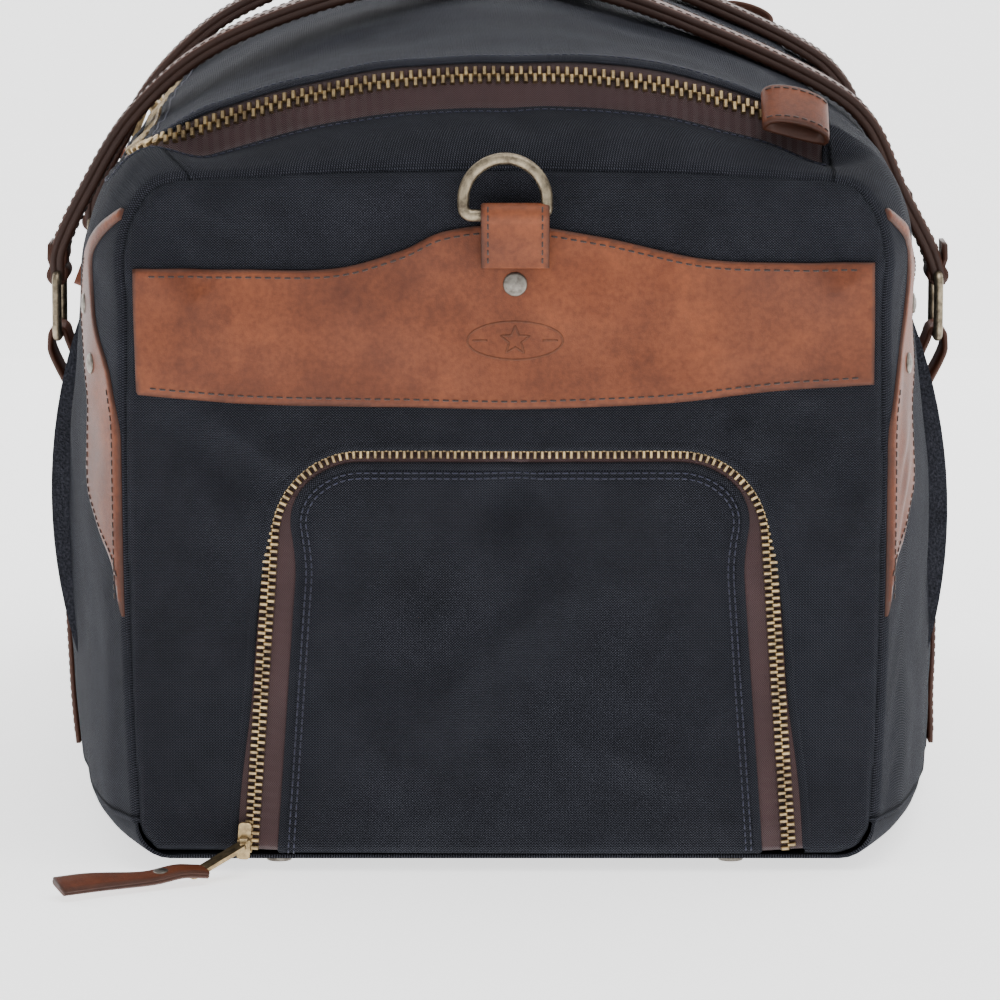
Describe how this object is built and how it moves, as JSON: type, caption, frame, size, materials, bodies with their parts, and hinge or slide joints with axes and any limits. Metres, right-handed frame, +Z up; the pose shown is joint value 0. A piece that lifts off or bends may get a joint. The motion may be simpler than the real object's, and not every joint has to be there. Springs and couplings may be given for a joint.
{
  "type": "duffel bag",
  "caption": "Waxed-canvas travel duffel with leather trim, a U-zipped lid, a zipped shoe compartment in one end, two carrying handles on rings, and D-rings.",
  "frame": {"origin": "middle of the centre foot's flat bottom, on the ground", "axes": "+X right seen from the zipped shoe end, +Y along the bag away from that end, +Z up"},
  "size_m": [0.3875, 0.6182, 0.3548],
  "materials": {
    "canvas": "waxed canvas, matt",
    "lining": "woven lining",
    "leather": "oiled cognac leather",
    "handle_leather": "oiled cognac leather, burnished dark edges",
    "zip_tape": "herringbone cotton tape",
    "brass": "antique brass",
    "rivet": "antique brass, dark",
    "board": "plain board"
  },
  "bodies": {
    "bag": {"bottom_panel": "canvas", "left_side_panel": "canvas", "right_side_panel": "canvas", "front_top_gusset": "canvas", "back_top_gusset": "canvas", "front_end_panel": "canvas", "back_end_panel": "canvas", "compartment_wall": "lining", "base_board": "board", "feet": "brass", "main_zip_body_tape": "zip_tape", "pocket_zip_frame_tape": "zip_tape", "main_zip_body_chain": "brass", "pocket_zip_frame_chain": "brass", "main_zip_stops": "brass", "pocket_zip_stops": "brass", "left_front_band": "leather", "left_front_strap": "leather", "left_back_band": "leather", "left_back_strap": "leather", "right_front_band": "leather", "right_front_strap": "leather", "right_back_band": "leather", "right_back_strap": "leather", "front_yoke": "leather", "front_ring_chape": "leather", "front_zip_tab": "leather", "back_yoke": "leather", "back_ring_chape": "leather", "back_zip_tab": "leather", "yoke_rivets": "rivet", "band_rivets": "rivet"},
    "lid": {"lid_panel": "canvas", "main_zip_lid_tape": "zip_tape", "main_zip_lid_chain": "brass"},
    "left_handle": {"left_handle": "handle_leather", "left_front_ring": "brass", "left_back_ring": "brass"},
    "right_handle": {"right_handle": "handle_leather", "right_front_ring": "brass", "right_back_ring": "brass"},
    "pocket_flap": {"pocket_flap": "canvas", "pocket_zip_flap_tape": "zip_tape", "pocket_zip_flap_chain": "brass"},
    "front_d_ring": {"front_d_ring": "brass"},
    "back_d_ring": {"back_d_ring": "brass"},
    "pocket_slider": {"pocket_slider": "brass"},
    "pocket_pull": {"pocket_pull": "brass", "pocket_puller": "leather", "pocket_puller_rivet": "rivet"},
    "main_slider_front": {"main_slider_front": "brass"},
    "main_slider_back": {"main_slider_back": "brass"},
    "main_pull_front": {"main_pull_front": "brass", "main_puller_front": "leather", "main_puller_rivet_front": "rivet"},
    "main_pull_back": {"main_pull_back": "brass", "main_puller_back": "leather", "main_puller_rivet_back": "rivet"}
  },
  "joints": [
    {"name": "lid_hinge", "type": "hinge", "parent": "bag", "child": "lid", "pos_m": [0.128, 0, 0.3025], "axis": [0, 1, 0], "range_deg": [0, 100]},
    {"name": "left_handle_swing", "type": "hinge", "parent": "bag", "child": "left_handle", "pos_m": [-0.19, 0, 0.198], "axis": [0, 1, 0], "range_deg": [-150, 0]},
    {"name": "right_handle_swing", "type": "hinge", "parent": "bag", "child": "right_handle", "pos_m": [0.184, 0, 0.198], "axis": [0, 1, 0], "range_deg": [0, 150]},
    {"name": "pocket_flap_hinge", "type": "hinge", "parent": "bag", "child": "pocket_flap", "pos_m": [0, -0.2768, 0.0093], "axis": [1, 0, 0], "range_deg": [0, 85]},
    {"name": "front_d_ring_swing", "type": "hinge", "parent": "bag", "child": "front_d_ring", "pos_m": [0, -0.2826, 0.267], "axis": [1, 0, 0], "range_deg": [0, 150]},
    {"name": "back_d_ring_swing", "type": "hinge", "parent": "bag", "child": "back_d_ring", "pos_m": [0, 0.2826, 0.267], "axis": [-1, 0, 0], "range_deg": [0, 150]},
    {"name": "pocket_slider_travel", "type": "slide", "parent": "bag", "child": "pocket_slider", "axis": [0.0704, 0, 0.9975], "range_m": [0, 0.1]},
    {"name": "pocket_pull_lift", "type": "hinge", "parent": "pocket_slider", "child": "pocket_pull", "pos_m": [-0.10516, -0.2819, 0.01321], "axis": [-1, 0, 0], "range_deg": [0, 85]},
    {"name": "main_slider_front_travel", "type": "slide", "parent": "bag", "child": "main_slider_front", "axis": [0, -1, 0], "range_m": [0, 0.065]},
    {"name": "main_slider_back_travel", "type": "slide", "parent": "bag", "child": "main_slider_back", "axis": [0, 1, 0], "range_m": [0, 0.065]},
    {"name": "main_pull_front_swing", "type": "hinge", "parent": "main_slider_front", "child": "main_pull_front", "pos_m": [-0.15696, -0.014, 0.28979], "axis": [0, 1, 0], "range_deg": [0, 80]},
    {"name": "main_pull_back_swing", "type": "hinge", "parent": "main_slider_back", "child": "main_pull_back", "pos_m": [-0.15696, 0.014, 0.28979], "axis": [0, 1, 0], "range_deg": [0, 80]}
  ],
  "couplings": [
    {"joint": "left_handle_swing", "follows": "lid_hinge", "ratio": -1.5},
    {"joint": "right_handle_swing", "follows": "lid_hinge", "ratio": 1.5}
  ]
}
